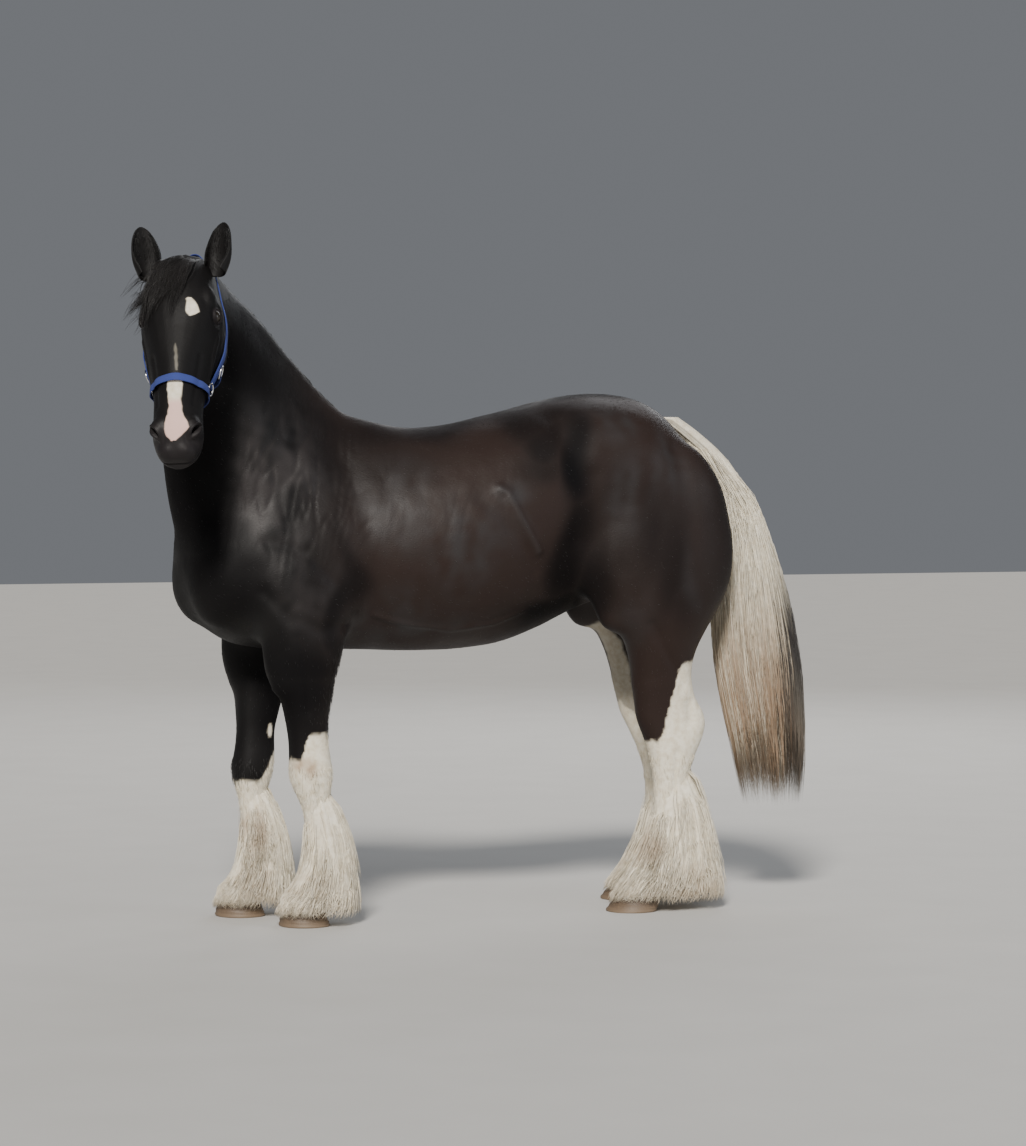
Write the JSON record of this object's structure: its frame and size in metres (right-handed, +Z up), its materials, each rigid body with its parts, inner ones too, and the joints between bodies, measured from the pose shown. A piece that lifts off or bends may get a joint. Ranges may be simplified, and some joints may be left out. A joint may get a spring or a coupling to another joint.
{
  "type": "heavy horse",
  "caption": "Standing heavy draught horse, black with white stockings, long feather over the hooves and a pale tail, head turned to its left, wearing a webbing halter.",
  "frame": {"origin": "on the floor under the middle of the bounding box, between the four hooves", "axes": "+Z up, -X the way the trunk faces, -Y the animal's left side, which the picture shows"},
  "size_m": [2.4144, 1.0254, 2.2057],
  "materials": {
    "black_coat": "short glossy black-brown coat",
    "white_hair": "long creamy white hair",
    "hoof": "dull brown horn",
    "eye": "wet dark brown",
    "webbing": "woven navy webbing",
    "ring_steel": "plated steel wire"
  },
  "bodies": {
    "root": {"torso": "black_coat", "neck": "black_coat", "head": "black_coat", "tail": "white_hair", "halter_noseband": "webbing", "halter_crown": "webbing", "halter_throat": "webbing", "ring_cheek_left": "ring_steel", "ring_cheek_right": "ring_steel", "ring_nose_left": "ring_steel", "ring_nose_right": "ring_steel", "forearm_left": "black_coat", "gaskin_left": "black_coat", "cannon_fore_left": "white_hair", "cannon_hind_left": "white_hair", "hoof_fore_left": "hoof", "hoof_hind_left": "hoof", "ear_left": "black_coat", "eye_left": "eye", "forearm_right": "black_coat", "gaskin_right": "black_coat", "cannon_fore_right": "white_hair", "cannon_hind_right": "white_hair", "hoof_fore_right": "hoof", "hoof_hind_right": "hoof", "ear_right": "black_coat", "eye_right": "eye"}
  },
  "joints": []
}
